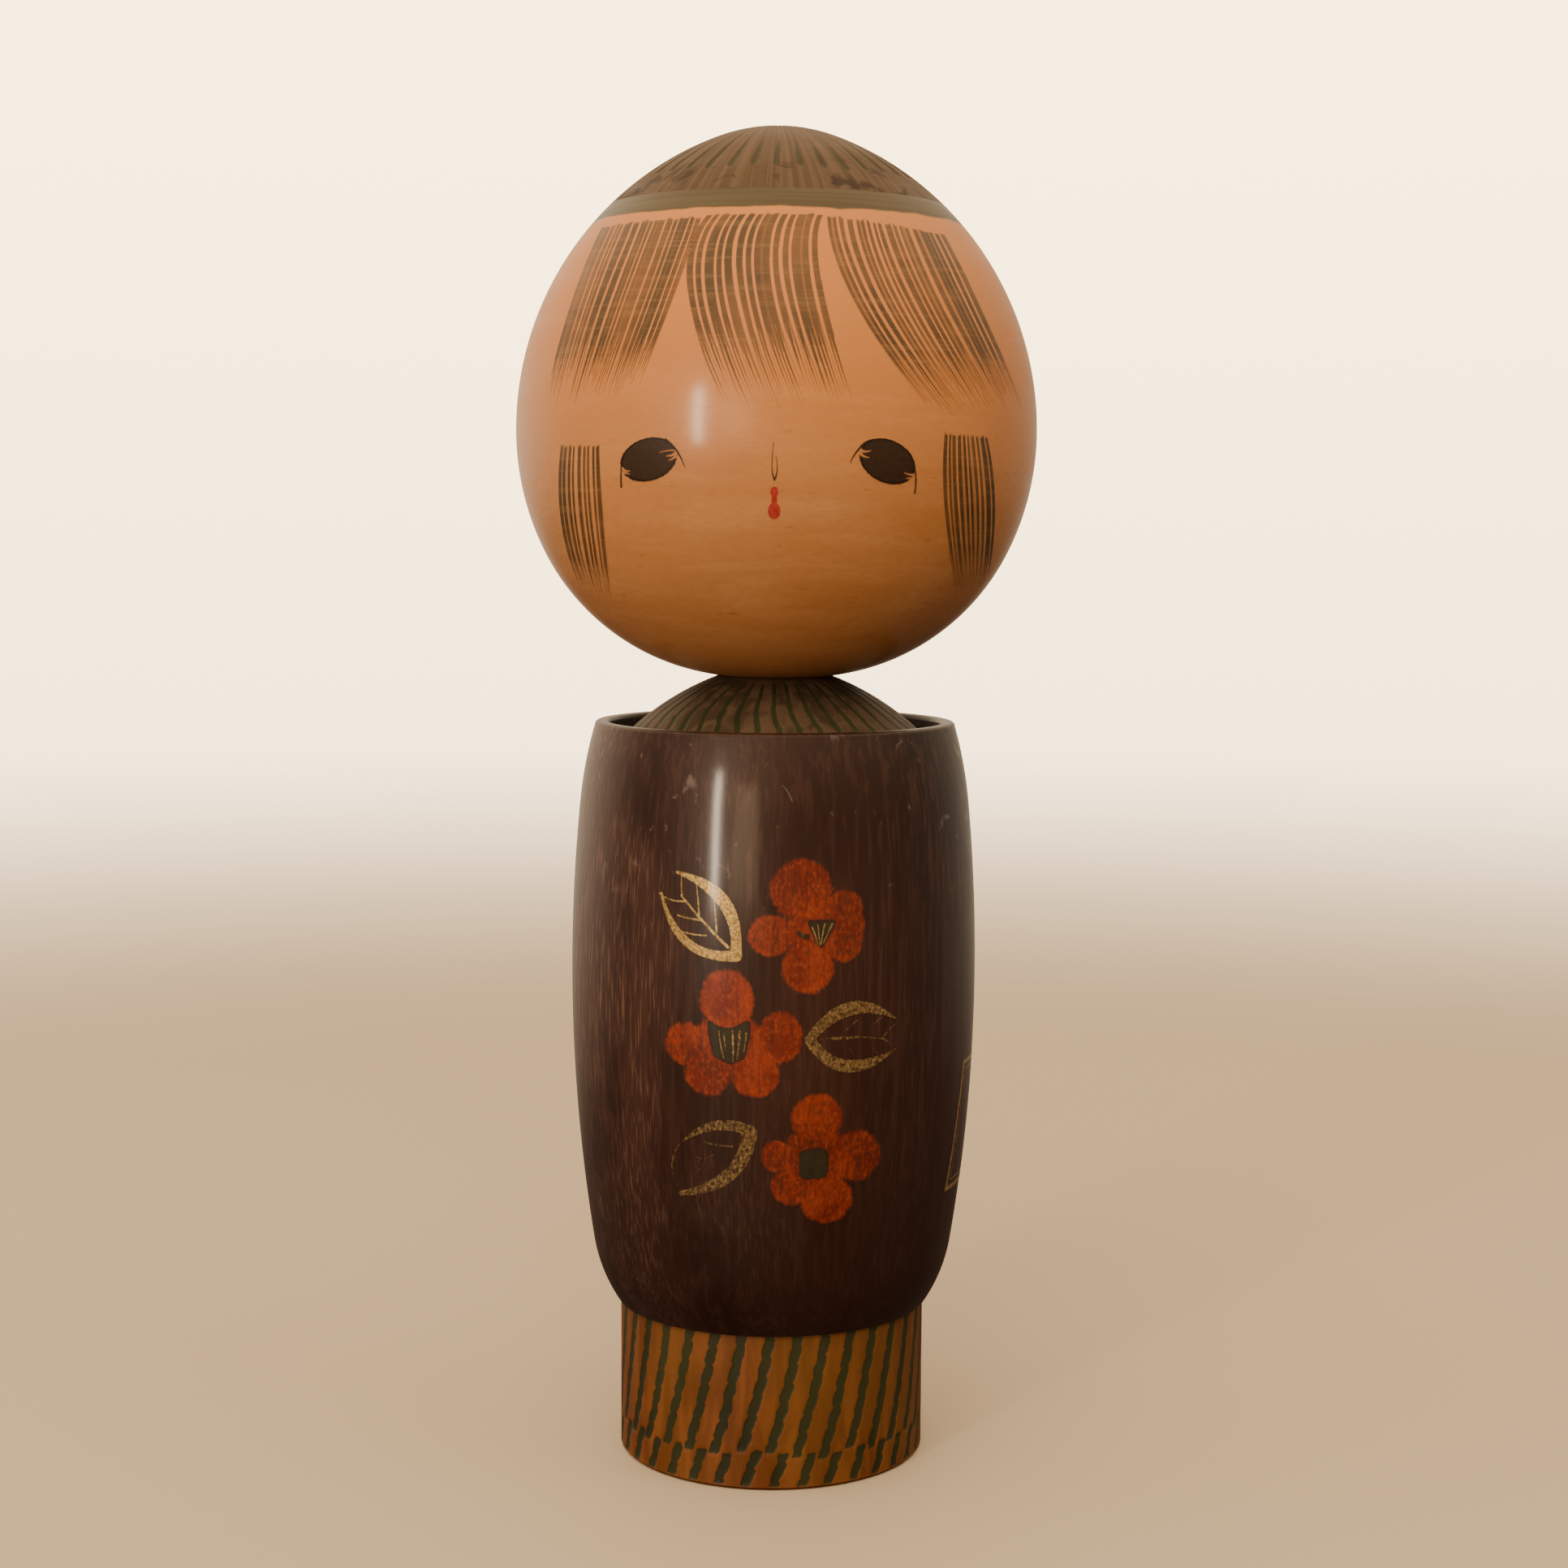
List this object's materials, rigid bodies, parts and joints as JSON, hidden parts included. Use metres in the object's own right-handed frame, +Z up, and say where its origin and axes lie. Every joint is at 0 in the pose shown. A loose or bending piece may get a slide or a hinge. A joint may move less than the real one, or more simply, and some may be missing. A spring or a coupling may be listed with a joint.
{
  "type": "kokeshi doll",
  "caption": "Turned wooden doll: a ball head that swivels on a dowel over a domed post with a barrel-shaped sleeve; stands on its flat foot.",
  "frame": {"origin": "centre of the flat foot, on the surface the doll stands on", "axes": "+Z up along the turning axis, -Y the way the face looks, +X to the right seen from the front"},
  "size_m": [0.0974, 0.0974, 0.2507],
  "materials": {
    "grooved_wood": "satin, chatter-cut grooves stained green",
    "kimono_lacquer": "dark satin lacquer over open-pored wood, painted flowers",
    "dowel_wood": "bare",
    "face_wood": "clear gloss lacquer, painted hair and face"
  },
  "bodies": {
    "body": {"post": "grooved_wood", "sleeve": "kimono_lacquer", "neck_dowel": "dowel_wood"},
    "head": {"head": "face_wood"}
  },
  "joints": [
    {"name": "head_swivel", "type": "hinge", "parent": "body", "child": "head", "pos_m": [0, 0, 0.1488], "axis": [0, 0, 1], "continuous": true}
  ]
}
